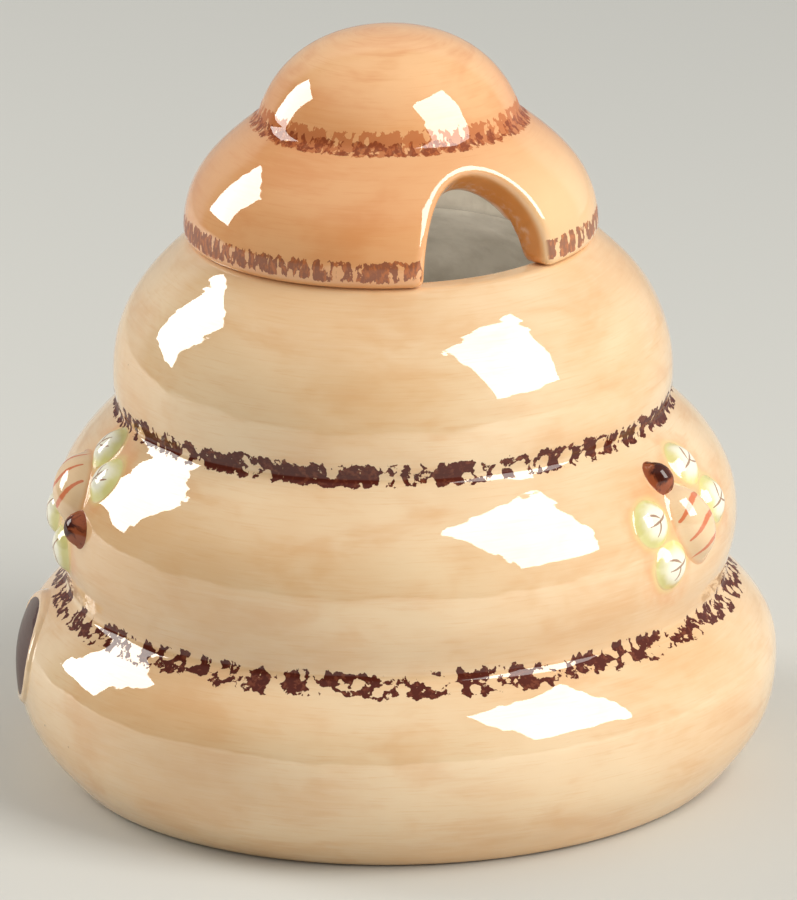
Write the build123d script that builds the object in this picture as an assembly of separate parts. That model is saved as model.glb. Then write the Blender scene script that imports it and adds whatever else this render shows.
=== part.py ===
# Beehive sugar bowl in glazed earthenware, about 105 mm across and 103 mm tall.
# A thick, hollow bowl of three swelling coils carries a loose lid of one coil and a dome.
# The lid has a spoon notch in its front wall and a collar that drops into the mouth.
# Three bees and a hive doorway stand on the coils in low relief.
# Millimetres, +Z up, origin at the centre of the base, the spoon notch faces -Y.
# Angles round the bowl start at -Y and grow towards +X.
from build123d import *
import math
import os

# Bowl
wall = 4.2
foot_radius = 45.0
foot_ring_width = 6.0
foot_recess = 1.2
floor_thickness = 4.6
bottom_coil_radius = 52.4
bottom_coil_height = 26.5
bottom_coil_belly = 15.1
middle_coil_radius = 46.9
middle_coil_height = 25.1
middle_coil_belly = 8.7
middle_coil_undercut = 1.6
top_coil_radius = 38.3
top_coil_height = 23.3
top_coil_belly = 3.7
top_coil_undercut = 0.7

# Mouth, and the flat seat round it that the lid rests on
mouth_radius = 24.0
seat_width = 3.2
rim_thickness = 4.0
rim_rounding = 0.8

# Lid
lid_wall = 4.6
lid_overhang = 0.9
lid_edge_rounding = 0.8
lid_coil_height = 16.7
lid_coil_belly = 1.4
lid_hollow_belly = 5.5
dome_radius = 17.8
dome_height = 11.8
dome_crown_radius = 10.9
collar_clearance = 0.8
collar_depth = 2.6
collar_thickness = 2.4
collar_root = 1.5

# The collar stops short of the notch on both sides
collar_gap_width = 26.0

# Spoon notch, measured on the flat plane that touches the front of the lid
notch_angle = -1.2
notch_width = 20.2
notch_height = 18.6
notch_cone_drop = 3.8
notch_rounding = 0.8

# Slopes of the walls where a coil begins or ends: 0 is straight outward, 90 is upright
foot_slope = 45.0
floor_slope = 20.0
middle_coil_slope = 88.0
top_coil_slope = 65.0
lid_edge_slope = 30.0
lid_hollow_slope = 45.0
dome_slope = 104.5
bottom_shoulder_slope = 139.5
middle_shoulder_slope = 136.5
top_shoulder_slope = 141.5
lid_shoulder_slope = 142.0

# Hive doorway, an oval on the bottom coil
door_angle = -117.5
door_above_belly = 2.1
door_width = 21.5
door_height = 11.4
door_rim_width = 1.6
door_rim_relief = 0.5
door_panel_relief = 0.3

# Bees on the middle coil: angle round the bowl, rise from mid coil, heading from level right
right_bee_rise = 0.6
left_bee_rise = 2.8
rear_bee_rise = 0.6
bees = {
    "right_bee": (30.0, right_bee_rise, 110.7),
    "left_bee": (-104.8, left_bee_rise, -33.0),
    "rear_bee": (144.5, rear_bee_rise, 60.0),
}
bee_body_length = 12.6
bee_body_width = 8.4
bee_body_relief = 2.6
bee_body_back = 0.3
bee_head_length = 5.6
bee_head_width = 4.8
bee_head_relief = 2.0
bee_head_forward = 7.5
bee_wing_span = 7.2
bee_wing_chord = 7.0
bee_wing_relief = 1.4
bee_wing_reach = 7.6
bee_fore_wing_forward = 4.7
bee_hind_wing_back = 2.2
bee_sink = 0.8

# How far the curve handles reach, as shares of their own curve
belly_pull = 0.5
crease_pull = 0.35
dome_pull = 0.5

# Sizes that follow from the ones above
lower_crease = (middle_coil_radius - middle_coil_undercut, bottom_coil_height)
upper_crease = (top_coil_radius - top_coil_undercut, bottom_coil_height + middle_coil_height)
floor_height = foot_recess + floor_thickness
seat_height = upper_crease[1] + top_coil_height
seat_radius = mouth_radius + seat_width
lid_radius = seat_radius + lid_overhang
lid_crease = (dome_radius, seat_height + lid_coil_height)
apex_height = lid_crease[1] + dome_height
collar_radius = mouth_radius - collar_clearance
collar_bore = collar_radius - collar_thickness


def along(slope, distance):
    turn = math.radians(slope)
    return (distance * math.cos(turn), distance * math.sin(turn))


def shifted(point, step):
    return (point[0] + step[0], point[1] + step[1])


# One coil's wall in half section, as two curves that meet upright at the belly
def coil(low, belly, high, low_slope, high_slope):
    low_handle = shifted(low, along(low_slope, crease_pull * math.dist(low, belly)))
    high_handle = shifted(high, along(high_slope, -crease_pull * math.dist(belly, high)))
    under_belly = (belly[0], belly[1] - belly_pull * (belly[1] - low[1]))
    over_belly = (belly[0], belly[1] + belly_pull * (high[1] - belly[1]))
    return [[low, low_handle, under_belly, belly], [belly, over_belly, high_handle, high]]


def dome(crease, apex, crown_radius):
    handle = shifted(crease, along(dome_slope, dome_pull * (apex - crease[1])))
    return [[crease, handle, (crown_radius, apex), (0.0, apex)]]


# A crease moved inward so that the walls on both sides of it keep one thickness
def inset_crease(crease, arriving_slope, leaving_slope, depth):
    first = along(arriving_slope - 90.0, 1.0)
    second = along(leaving_slope - 90.0, 1.0)
    share = depth / (1.0 + first[0] * second[0] + first[1] * second[1])
    return shifted(crease, (-share * (first[0] + second[0]), -share * (first[1] + second[1])))


def middle_coil(depth):
    lower = inset_crease(lower_crease, bottom_shoulder_slope, middle_coil_slope, depth)
    upper = inset_crease(upper_crease, middle_shoulder_slope, top_coil_slope, depth)
    belly = (middle_coil_radius - depth, lower_crease[1] + middle_coil_belly)
    return coil(lower, belly, upper, middle_coil_slope, middle_shoulder_slope)


# The bowl's three coils from the foot to the rim, moved inward by a depth
def bowl_coils(depth, foot, leaving_slope, rim):
    middle = middle_coil(depth)
    bottom_belly = (bottom_coil_radius - depth, bottom_coil_belly)
    top_belly = (top_coil_radius - depth, upper_crease[1] + top_coil_belly)
    bottom = coil(foot, bottom_belly, middle[0][0], leaving_slope, bottom_shoulder_slope)
    top = coil(middle[-1][-1], top_belly, rim, top_coil_slope, top_shoulder_slope)
    return bottom + middle + top


# A half section of curves and single corners, closed by straight lines and turned about Z
def turned(pieces):
    edges = []
    for piece, following in zip(pieces, pieces[1:] + pieces[:1]):
        points = [Vector(radius, 0, height) for radius, height in piece]
        if len(points) > 1:
            edges.append(Bezier(*points))
        start = points[-1]
        end = Vector(following[0][0], 0, following[0][1])
        if start != end:
            edges.append(Line(start, end))
    return revolve(make_face(Wire(edges)), Axis.Z, 360)


# The outside of the bowl as a filled body, grown outward by a relief
def filled_bowl(relief):
    curves = bowl_coils(-relief, (foot_radius, 0.0), foot_slope, (seat_radius, seat_height))
    return turned([[(0.0, 0.0)]] + curves + [[(0.0, seat_height)]])


def bowl_hollow():
    wall_start = shifted((foot_radius, 0.0), along(foot_slope + 90.0, wall))
    climb = (floor_height - wall_start[1]) / math.tan(math.radians(foot_slope))
    floor_edge = (wall_start[0] + climb - foot_ring_width / 2, floor_height)
    neck = (mouth_radius, seat_height - rim_thickness)
    curves = bowl_coils(wall, floor_edge, floor_slope, neck)
    mouth = [[(mouth_radius, seat_height)], [(0.0, seat_height)]]
    return turned([[(0.0, floor_height)]] + curves + mouth)


def make_bowl():
    recess = Cylinder(foot_radius - foot_ring_width, 2 * foot_recess)
    bowl = filled_bowl(0.0) - bowl_hollow() - recess
    rim_edges = bowl.edges().filter_by(GeomType.CIRCLE).group_by(Axis.Z)[-1]
    return fillet(rim_edges, rim_rounding)


# The lid before its notch: outside, hollow and collar in one half section
def whole_lid():
    edge = (lid_radius - lid_edge_rounding, seat_height)
    belly = (lid_radius, seat_height + lid_coil_belly)
    outside = coil(edge, belly, lid_crease, lid_edge_slope, lid_shoulder_slope)
    outside += dome(lid_crease, apex_height, dome_crown_radius)
    root = (collar_bore, seat_height + collar_root)
    hollow_belly = (lid_radius - lid_wall, seat_height + lid_hollow_belly)
    hollow_crease = inset_crease(lid_crease, lid_shoulder_slope, dome_slope, lid_wall)
    hollow = coil(root, hollow_belly, hollow_crease, lid_hollow_slope, lid_shoulder_slope)
    hollow += dome(hollow_crease, apex_height - lid_wall, dome_crown_radius - lid_wall / 2)
    collar_foot = seat_height - collar_depth
    collar = [
        [(collar_bore, collar_foot)],
        [(collar_radius, collar_foot)],
        [(collar_radius, seat_height)],
    ]
    return turned(outside + [curve[::-1] for curve in reversed(hollow)] + collar)


# The notch's arch at a distance from the axis; all arches shrink towards one point inside
def notch_arch(distance):
    share = distance / lid_radius
    half = notch_width / 2 * share
    spring = notch_cone_drop * share
    rise = notch_height * share
    cone_point = (0, -distance, seat_height - notch_cone_drop)
    plane = Plane(origin=cone_point, x_dir=(1, 0, 0), z_dir=(0, -1, 0))
    legs = Polyline((-half, spring), (-half, -spring), (half, -spring), (half, spring))
    arch = EllipticalCenterArc((0, spring), half, rise, start_angle=0, arc_size=180)
    return plane * make_face(Wire(legs.edges() + arch.edges()))


def collar_gap():
    middle = (0, -mouth_radius / 2, seat_height - collar_depth)
    return Pos(*middle) * Box(collar_gap_width, mouth_radius, 2 * collar_depth)


def make_lid():
    inside_hollow = collar_bore - collar_radius / 2
    outside_lid = lid_radius + lid_wall
    notch = loft([notch_arch(inside_hollow), notch_arch(outside_lid)], ruled=True)
    lid = whole_lid() - Rot(0, 0, notch_angle) * notch
    notch_walls = lid.faces().filter_by(GeomType.BSPLINE)
    edges = [edge for face in notch_walls for edge in face.edges()]
    outline = [edge for edge in edges if sum(edge.is_same(other) for other in edges) == 1]
    return fillet(outline, notch_rounding) - Rot(0, 0, notch_angle) * collar_gap()


# Points along the outside of the middle coil, each with its distance from the lower crease
def middle_coil_path():
    steps = 60
    points = []
    for a, b, c, d in middle_coil(0.0):
        for step in range(steps + 1):
            t = step / steps
            weights = ((1 - t) ** 3, 3 * t * (1 - t) ** 2, 3 * t * t * (1 - t), t ** 3)
            radius = sum(weight * point[0] for weight, point in zip(weights, (a, b, c, d)))
            height = sum(weight * point[1] for weight, point in zip(weights, (a, b, c, d)))
            if not points or (radius, height) != points[-1]:
                points.append((radius, height))
    distances = [0.0]
    for here, after in zip(points, points[1:]):
        distances.append(distances[-1] + math.dist(here, after))
    return points, distances


# A plane that touches the middle coil, its X axis turned to a heading
def touching_plane(path, angle, distance, heading):
    points, distances = path
    last = len(points) - 2
    index = min(max(sum(each < distance for each in distances) - 1, 0), last)
    here, after = points[index], points[index + 1]
    step = math.dist(here, after)
    outward, upward = (after[0] - here[0]) / step, (after[1] - here[1]) / step
    beyond = distance - distances[index]
    radius, height = shifted(here, (outward * beyond, upward * beyond))
    sine, cosine = math.sin(math.radians(angle)), math.cos(math.radians(angle))
    right = Vector(cosine, sine, 0)
    up = Vector(outward * sine, -outward * cosine, upward)
    normal = Vector(upward * sine, -upward * cosine, -outward)
    towards = right * math.cos(math.radians(heading)) + up * math.sin(math.radians(heading))
    return Plane(origin=(radius * sine, -radius * cosine, height), x_dir=towards, z_dir=normal)


# One swelling of a bee, part of an egg whose middle lies under the glaze
def swelling(plane, length, width, relief):
    egg = scale(Sphere(1.0), by=(length / 2, width / 2, relief + bee_sink))
    return plane * (Pos(0, 0, -bee_sink) * egg)


def make_bee(name, filled):
    angle, rise, heading = bees[name]
    path = middle_coil_path()
    middle = path[1][-1] / 2 + rise
    turn = math.radians(heading)

    def spot(forward, left):
        right = forward * math.cos(turn) - left * math.sin(turn)
        up = forward * math.sin(turn) + left * math.cos(turn)
        around = math.degrees(right / middle_coil_radius)
        return touching_plane(path, angle + around, middle + up, heading)

    swellings = {
        "head": (spot(bee_head_forward, 0), bee_head_length, bee_head_width, bee_head_relief),
        "body": (spot(-bee_body_back, 0), bee_body_length, bee_body_width, bee_body_relief),
    }
    for side, reach in (("left", bee_wing_reach), ("right", -bee_wing_reach)):
        wing_size = (bee_wing_chord, bee_wing_span, bee_wing_relief)
        swellings[f"{side}_fore_wing"] = (spot(bee_fore_wing_forward, reach),) + wing_size
        swellings[f"{side}_hind_wing"] = (spot(-bee_hind_wing_back, reach),) + wing_size
    pieces = {}
    for part, size in swellings.items():
        piece = swelling(*size) - filled
        for earlier in pieces.values():
            piece = piece - earlier
        pieces[f"{name}_{part}"] = piece
    return pieces


# An oval bar through the wall of the bottom coil at the doorway
def door_bar(width, height):
    centre = (0, 0, bottom_coil_belly + door_above_belly)
    plane = Plane(origin=centre, x_dir=(1, 0, 0), z_dir=(0, -1, 0))
    bar = extrude(plane * Ellipse(width / 2, height / 2), bottom_coil_radius + wall)
    return Rot(0, 0, door_angle) * bar


def make_door(filled):
    opening = door_bar(door_width, door_height)
    surround = door_bar(door_width + 2 * door_rim_width, door_height + 2 * door_rim_width)
    rim = (surround - opening) & filled_bowl(door_rim_relief)
    panel = opening & filled_bowl(door_panel_relief)
    return {"hive_door_rim": rim - filled, "hive_door_panel": panel - filled}


filled = filled_bowl(0.0)
nodes = {"bowl": make_bowl(), "lid": make_lid()}
nodes.update(make_door(filled))
for bee in bees:
    nodes.update(make_bee(bee, filled))

os.makedirs("parts", exist_ok=True)
for node, solid in nodes.items():
    export_step(solid, f"parts/{node}.step")
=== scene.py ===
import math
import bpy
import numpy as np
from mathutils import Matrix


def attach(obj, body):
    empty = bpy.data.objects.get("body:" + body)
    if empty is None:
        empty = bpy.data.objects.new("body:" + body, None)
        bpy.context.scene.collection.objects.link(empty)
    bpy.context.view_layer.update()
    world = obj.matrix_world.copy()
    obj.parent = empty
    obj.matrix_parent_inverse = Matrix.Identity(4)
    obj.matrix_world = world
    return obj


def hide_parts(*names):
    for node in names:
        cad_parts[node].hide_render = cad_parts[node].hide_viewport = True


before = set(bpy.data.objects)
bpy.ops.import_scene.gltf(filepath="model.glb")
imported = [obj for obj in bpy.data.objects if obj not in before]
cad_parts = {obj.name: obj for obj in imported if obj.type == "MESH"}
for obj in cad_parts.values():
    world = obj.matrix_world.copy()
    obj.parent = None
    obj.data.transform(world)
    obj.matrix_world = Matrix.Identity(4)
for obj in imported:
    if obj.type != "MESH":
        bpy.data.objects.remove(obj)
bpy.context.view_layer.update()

# Looks of a beehive sugar bowl in glazed earthenware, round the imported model.
# Shapes are worked out in millimetres and turned into metres when a mesh is made.
# Angles round the bowl start at -Y, where the spoon notch faces, and grow towards +X.
# The camera and the lights are in metres, degrees and watts, the lens in millimetres.
import openvdb
from mathutils import Matrix, Vector

MM = 0.001

# Bowl
wall = 4.2
foot_radius = 45.0
foot_ring_width = 6.0
foot_recess = 1.2
floor_thickness = 4.6
bottom_coil_radius = 52.4
bottom_coil_height = 26.5
bottom_coil_belly = 15.1
middle_coil_radius = 46.9
middle_coil_height = 25.1
middle_coil_belly = 8.7
middle_coil_undercut = 1.6
top_coil_radius = 38.3
top_coil_height = 23.3
top_coil_belly = 3.7
top_coil_undercut = 0.7

# Mouth and lid
mouth_radius = 24.0
seat_width = 3.2
rim_thickness = 4.0
lid_wall = 4.6
lid_overhang = 0.9
lid_edge_rounding = 0.8
lid_coil_height = 16.7
lid_coil_belly = 1.4
lid_hollow_belly = 5.5
dome_radius = 17.8
dome_height = 11.8
dome_crown_radius = 10.9
collar_clearance = 0.8
collar_depth = 2.6
collar_thickness = 2.4
collar_root = 1.5
collar_gap_width = 26.0

# Spoon notch
notch_angle = -1.2
notch_width = 20.2
notch_height = 18.6
notch_cone_drop = 3.8
notch_rim_rounding = 1.6

# Thicker wall inside the lid round the notch: how thick, how far round it, how high over the seat
notch_rim_wall = 6.3
notch_rim_reach = 3.0
notch_rim_rise = 2.5

# Slopes of the walls where a coil begins or ends: 0 is straight outward, 90 is upright
foot_slope = 45.0
floor_slope = 20.0
middle_coil_slope = 88.0
top_coil_slope = 65.0
lid_edge_slope = 30.0
lid_hollow_slope = 45.0
dome_slope = 104.5
bottom_shoulder_slope = 139.5
middle_shoulder_slope = 136.5
top_shoulder_slope = 141.5
lid_shoulder_slope = 142.0

# Hive doorway
door_angle = -117.5
door_above_belly = 2.1
door_width = 21.5
door_height = 11.4
door_rim_width = 1.6
door_rim_relief = 0.5
door_panel_relief = 0.3

# The rim's section goes this many half widths out from its middle, and glaze fills its foot
door_rim_reach = 1.2
door_rim_filling = 0.4

# The panel is dished by a share of its relief, and its glaze thins by a share of a bee head's
door_panel_dish = 0.3
door_thinning = 0.15

# Bees: angle round the bowl, rise from mid coil, heading from level right
bees = {
    "right_bee": (30.0, 0.6, 110.7),
    "left_bee": (-104.8, 2.8, -33.0),
    "rear_bee": (144.5, 0.6, 60.0),
}
bee_body = {"length": 12.6, "width": 8.4, "relief": 2.6}
bee_head = {"length": 5.6, "width": 4.8, "relief": 2.0}
bee_wing = {"length": 7.0, "width": 7.2, "relief": 1.4}
bee_body_back = 0.3
bee_head_forward = 7.5
bee_wing_reach = 7.6
bee_fore_wing_forward = 4.7
bee_hind_wing_back = 2.2

# Painted lines, each with its start, its end and its bow, forward and aside on its own part
bee_stripes = [((forward, -3.3, 0.0), (forward, 3.3, 0.0), -1.0) for forward in (2.1, -0.9, -3.9)]
bee_stripe_width = 0.42
wing_veins = [
    ((0.0, -2.4, 0.0), (0.2, 1.6, 0.0), 0.25),
    ((0.1, -0.6, 0.0), (1.6, 1.1, 0.0), -0.2),
    ((0.0, -0.4, 0.0), (-1.5, 1.2, 0.0), 0.2),
]
wing_vein_width = 0.19

# How far the curve handles reach, as shares of their own curve
belly_pull = 0.5
crease_pull = 0.35
dome_pull = 0.5

# Glaze fills the creases and rounds the edges over these distances
crease_filling = 0.8
edge_softening = 0.7
foot_softening = 1.2
foot_ring_softening = 0.5
recess_filling = 0.6

# Spacing of the points of a half section, and points on one curve and in one rounded corner
bowl_spacing = 1.1
lid_spacing = 0.2
curve_points = 400
corner_points = 7

# Cast ware is never quite round: waves round the bowl and up the wall, and their depth
waver_depth = 0.03
waver_fade = 5.0
waver_waves = ((2, 0.04, 0.6), (3, -0.05, 2.2), (5, 0.13, 4.0), (9, -0.21, 1.1), (13, 0.3, 5.2))

# Relief on the coils: how full its lobes are, how the glaze fills round their feet, how deep the
# feet and the underside lie in the wall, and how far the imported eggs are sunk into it
lobe_fullness = 2.6
foot_filling = 0.4
relief_sink = 0.04
relief_depth = 0.7
egg_sink = 0.8

# Values where the wings and the edges are too far off to matter
far_from_wings = 99.0
far_inside = 40.0

# Camera
camera_angle = -30.0
camera_elevation = 17.715
camera_distance = 1.159
camera_aim_height = 0.04388
camera_aside = 0.00058
camera_roll = 0.81
camera_lens = 339.3
camera_range = (0.1, 20.0)

# Softboxes: angle round the bowl, elevation, width, height and power
softboxes = {
    "right_softbox": (26.5, 37.0, 0.48, 0.66, 5.9),
    "left_softbox": (-143.0, 25.0, 0.31, 0.45, 2.9),
}
softbox_distance = 0.8
softbox_aim_height = 0.05

# Light from all round and from both sides, what the glaze reflects, and the glow inside
ambient = 0.28
right_fill = 0.6
left_fill = 0.52
reflected_backdrop = 0.35
reflected_right = 0.4
reflected_above = 0.25
reflected_ambient = 0.05
inside_glow_strength = 0.58

# Glaze: roughness under it and on it, index of refraction, depths of its swells and strokes
under_glaze_roughness = 0.3
glaze_roughness = 0.025
glaze_ior = 2.0
bowl_swells = 0.27
lid_swells = 0.24
relief_swells = 0.08
brushing = 0.006

# Angle round the bowl of the lid's painted light: its stain is painted paler and creamier on the side
# that the right softbox lights
lit_side_angle = 32.0

# Floor
floor_radius = 1.0
floor_roughness = 0.75

# Values that follow from the ones above
lower_crease = (middle_coil_radius - middle_coil_undercut, bottom_coil_height)
upper_crease = (top_coil_radius - top_coil_undercut, bottom_coil_height + middle_coil_height)
floor_height = foot_recess + floor_thickness
seat_height = upper_crease[1] + top_coil_height
seat_radius = mouth_radius + seat_width
lid_radius = seat_radius + lid_overhang
lid_crease = (dome_radius, seat_height + lid_coil_height)
apex_height = lid_crease[1] + dome_height
collar_radius = mouth_radius - collar_clearance
collar_bore = collar_radius - collar_thickness
camera_turn = math.radians(camera_angle)
camera_right = Vector((math.cos(camera_turn), math.sin(camera_turn), 0.0))


def along(slope, distance):
    turn = math.radians(slope)
    return (distance * math.cos(turn), distance * math.sin(turn))


def shifted(point, step):
    return (point[0] + step[0], point[1] + step[1])


# One coil's wall in half section, as two curves that meet upright at the belly
def coil(low, belly, high, low_slope, high_slope):
    low_handle = shifted(low, along(low_slope, crease_pull * math.dist(low, belly)))
    high_handle = shifted(high, along(high_slope, -crease_pull * math.dist(belly, high)))
    under_belly = (belly[0], belly[1] - belly_pull * (belly[1] - low[1]))
    over_belly = (belly[0], belly[1] + belly_pull * (high[1] - belly[1]))
    return [[low, low_handle, under_belly, belly], [belly, over_belly, high_handle, high]]


def dome(crease, apex, crown_radius):
    handle = shifted(crease, along(dome_slope, dome_pull * (apex - crease[1])))
    return [crease, handle, (crown_radius, apex), (0.0, apex)]


# A crease moved inward so that the walls on both sides of it keep one thickness
def inset_crease(crease, arriving_slope, leaving_slope, depth):
    first = along(arriving_slope - 90.0, 1.0)
    second = along(leaving_slope - 90.0, 1.0)
    share = depth / (1.0 + first[0] * second[0] + first[1] * second[1])
    return shifted(crease, (-share * (first[0] + second[0]), -share * (first[1] + second[1])))


# The bowl's three coils from a foot to a rim, moved inward by a depth
def bowl_coils(depth, foot, leaving_slope, rim):
    lower = inset_crease(lower_crease, bottom_shoulder_slope, middle_coil_slope, depth)
    upper = inset_crease(upper_crease, middle_shoulder_slope, top_coil_slope, depth)
    bottom_belly = (bottom_coil_radius - depth, bottom_coil_belly)
    middle_belly = (middle_coil_radius - depth, lower_crease[1] + middle_coil_belly)
    top_belly = (top_coil_radius - depth, upper_crease[1] + top_coil_belly)
    return [
        coil(foot, bottom_belly, lower, leaving_slope, bottom_shoulder_slope),
        coil(lower, middle_belly, upper, middle_coil_slope, middle_shoulder_slope),
        coil(upper, top_belly, rim, top_coil_slope, top_shoulder_slope),
    ]


def lengths_along(line):
    steps = np.hypot(*np.diff(line, axis=0).T)
    return np.concatenate([[0.0], np.cumsum(steps)])


# A straight line or a curve with two handles, less a cut at each end, as even points
def stretch(controls, start_cut, end_cut, spacing):
    controls = np.array(controls, float)
    t = np.linspace(0.0, 1.0, curve_points)[:, None]
    if len(controls) == 2:
        fine = controls[0] + t * (controls[1] - controls[0])
    else:
        weights = ((1 - t) ** 3, 3 * t * (1 - t) ** 2, 3 * t * t * (1 - t), t ** 3)
        fine = sum(weight * point for weight, point in zip(weights, controls))
    lengths = lengths_along(fine)
    count = max(2, int((lengths[-1] - start_cut - end_cut) / spacing) + 1)
    even = np.linspace(start_cut, lengths[-1] - end_cut, count)
    return np.column_stack([np.interp(even, lengths, fine[:, 0]), np.interp(even, lengths, fine[:, 1])])


# A half section through its stretches, each with the rounding of the corner at its end
def section(stretches, spacing):
    points = []
    cut = 0.0
    for controls, rounding in stretches:
        line = stretch(controls, cut, rounding, spacing)
        if points and cut > 0.0:
            start, corner, end = points[-1], np.array(controls[0]), line[0]
            for t in np.linspace(0.0, 1.0, corner_points)[1:-1]:
                points.append((1 - t) ** 2 * start + 2 * t * (1 - t) * corner + t * t * end)
        points.extend(line if cut > 0.0 or not points else line[1:])
        cut = rounding
    return np.array(points)


# Stretches of several curves that meet smoothly inside and are rounded at the end
def smooth_curves(curves, rounding):
    return [(curve, 0.0) for curve in curves[:-1]] + [(curves[-1], rounding)]


# The bowl in half section, from the middle of its underside round to the middle of its floor
def bowl_section():
    recess = foot_radius - foot_ring_width
    foot = (foot_radius, 0.0)
    rim = (seat_radius, seat_height)
    wall_start = shifted(foot, along(foot_slope + 90.0, wall))
    climb = (floor_height - wall_start[1]) / math.tan(math.radians(foot_slope))
    floor_edge = (wall_start[0] + climb - foot_ring_width / 2, floor_height)
    neck = (mouth_radius, seat_height - rim_thickness)
    stretches = [
        ([(0.0, foot_recess), (recess, foot_recess)], recess_filling),
        ([(recess, foot_recess), (recess, 0.0)], foot_ring_softening),
        ([(recess, 0.0), foot], foot_softening),
    ]
    for curves in bowl_coils(0.0, foot, foot_slope, rim):
        stretches += smooth_curves(curves, crease_filling)
    stretches[-1] = (stretches[-1][0], edge_softening)
    stretches.append(([rim, (mouth_radius, seat_height)], edge_softening))
    stretches.append(([(mouth_radius, seat_height), neck], crease_filling))
    for curves in reversed(bowl_coils(wall, floor_edge, floor_slope, neck)):
        stretches += smooth_curves([curve[::-1] for curve in reversed(curves)], crease_filling)
    stretches.append(([floor_edge, (0.0, floor_height)], 0.0))
    return section(stretches, bowl_spacing)


# The lid's outside, the same filled and drawn out downward, and the whole lid in half section
def lid_sections():
    edge = (lid_radius - lid_edge_rounding, seat_height)
    belly = (lid_radius, seat_height + lid_coil_belly)
    outside = coil(edge, belly, lid_crease, lid_edge_slope, lid_shoulder_slope)
    crown = dome(lid_crease, apex_height, dome_crown_radius)
    root = (collar_bore, seat_height + collar_root)
    hollow_belly = (lid_radius - lid_wall, seat_height + lid_hollow_belly)
    hollow_crease = inset_crease(lid_crease, lid_shoulder_slope, dome_slope, lid_wall)
    hollow = coil(root, hollow_belly, hollow_crease, lid_hollow_slope, lid_shoulder_slope)
    hollow_crown = dome(hollow_crease, apex_height - lid_wall, dome_crown_radius - lid_wall / 2)
    collar_foot = seat_height - collar_depth
    outer = [(crown[::-1], crease_filling)]
    outer += smooth_curves([outside[1][::-1], outside[0][::-1]], edge_softening)
    collar = [
        ([edge, (collar_radius, seat_height)], edge_softening / 2),
        ([(collar_radius, seat_height), (collar_radius, collar_foot)], edge_softening),
        ([(collar_radius, collar_foot), (collar_bore, collar_foot)], edge_softening),
        ([(collar_bore, collar_foot), root], edge_softening),
    ]
    inner = smooth_curves(hollow, crease_filling) + [(hollow_crown, 0.0)]
    outside_line = section(outer, lid_spacing)
    below = collar_foot - lid_wall
    filled_line = np.vstack([outside_line, [(edge[0], below), (0.0, below)]])
    return outside_line, filled_line, section(outer + collar + inner, lid_spacing)


# Depth of the wall's waver at an angle round the bowl and a distance up the wall
def waver(angle, distance):
    total = sum(np.sin(turns * angle + rate * distance + phase) for turns, rate, phase in waver_waves)
    return waver_depth * (total - len(waver_waves))


def eased_share(value):
    share = np.clip(value, 0.0, 1.0)
    return share * share * (3.0 - 2.0 * share)


# The outside of a turned wall between two of its points, with its normal
class Wall:
    def __init__(self, line, start, end):
        self.line = line
        self.lengths = lengths_along(line)
        slope = np.gradient(line, self.lengths, axis=0)
        slope /= np.hypot(*slope.T)[:, None]
        self.outward, self.upward = slope[:, 1], -slope[:, 0]
        first, last = (np.argmin(np.hypot(*(line - point).T)) for point in (start, end))
        self.start, self.end = self.lengths[first], self.lengths[last]

    # The distance along the wall at a height on the outside
    def distance_at(self, height):
        outside = (self.lengths >= self.start) & (self.lengths <= self.end)
        return np.interp(height, self.line[outside, 1], self.lengths[outside])

    # Places at angles, distances along the wall and heights above the glaze
    def places(self, angle, distance, relief):
        radius = np.interp(distance, self.lengths, self.line[:, 0])
        height = np.interp(distance, self.lengths, self.line[:, 1])
        outward = np.interp(distance, self.lengths, self.outward)
        upward = np.interp(distance, self.lengths, self.upward)
        above_foot = eased_share((distance - self.start) / waver_fade)
        below_seat = eased_share((self.end - distance) / waver_fade)
        off = relief + waver(angle, distance) * above_foot * below_seat
        radius = radius + off * outward
        return np.stack([radius * np.sin(angle), -radius * np.cos(angle), height + off * upward], -1)


# A mesh object from places in millimetres, smooth, with its values for the glazes
def new_piece(name, places, faces, values):
    mesh = bpy.data.meshes.new(name)
    mesh.from_pydata((np.asarray(places) * MM).tolist(), [], faces)
    for value_name, numbers in values.items():
        numbers = np.asarray(numbers, np.float32)
        kind, field = ("FLOAT_VECTOR", "vector") if numbers.ndim == 2 else ("FLOAT", "value")
        mesh.attributes.new(value_name, kind, "POINT").data.foreach_set(field, numbers.ravel())
    mesh.shade_smooth()
    piece = bpy.data.objects.new(name, mesh)
    bpy.context.scene.collection.objects.link(piece)
    return piece


# Faces of a grid of rows that close round, whose first row faces outward going up
def ring_faces(rows, columns):
    row = columns * np.arange(rows - 1)[:, None]
    here = np.arange(columns)[None, :]
    after = (here + 1) % columns
    corners = [row + here, row + after, row + columns + after, row + columns + here]
    return np.stack(np.broadcast_arrays(*corners), -1).reshape(-1, 4).tolist()


def fan_faces(middle, ring, columns, before):
    fans = []
    for here in range(columns):
        after = (here + 1) % columns
        pair = (ring + after, ring + here) if before else (ring + here, ring + after)
        fans.append((middle,) + pair)
    return fans


bowl_line = bowl_section()
bowl_wall = Wall(bowl_line, (foot_radius, 0.0), (seat_radius, seat_height))
middle_coil_start = bowl_wall.distance_at(lower_crease[1])
middle_coil_end = bowl_wall.distance_at(upper_crease[1])


# Each bee part's middle, forward and to the left of the bee, with its size
def bee_parts():
    parts = {"head": (bee_head_forward, 0.0, bee_head), "body": (-bee_body_back, 0.0, bee_body)}
    for side, reach in (("left", bee_wing_reach), ("right", -bee_wing_reach)):
        parts[f"{side}_fore_wing"] = (bee_fore_wing_forward, reach, bee_wing)
        parts[f"{side}_hind_wing"] = (-bee_hind_wing_back, reach, bee_wing)
    return parts


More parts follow.
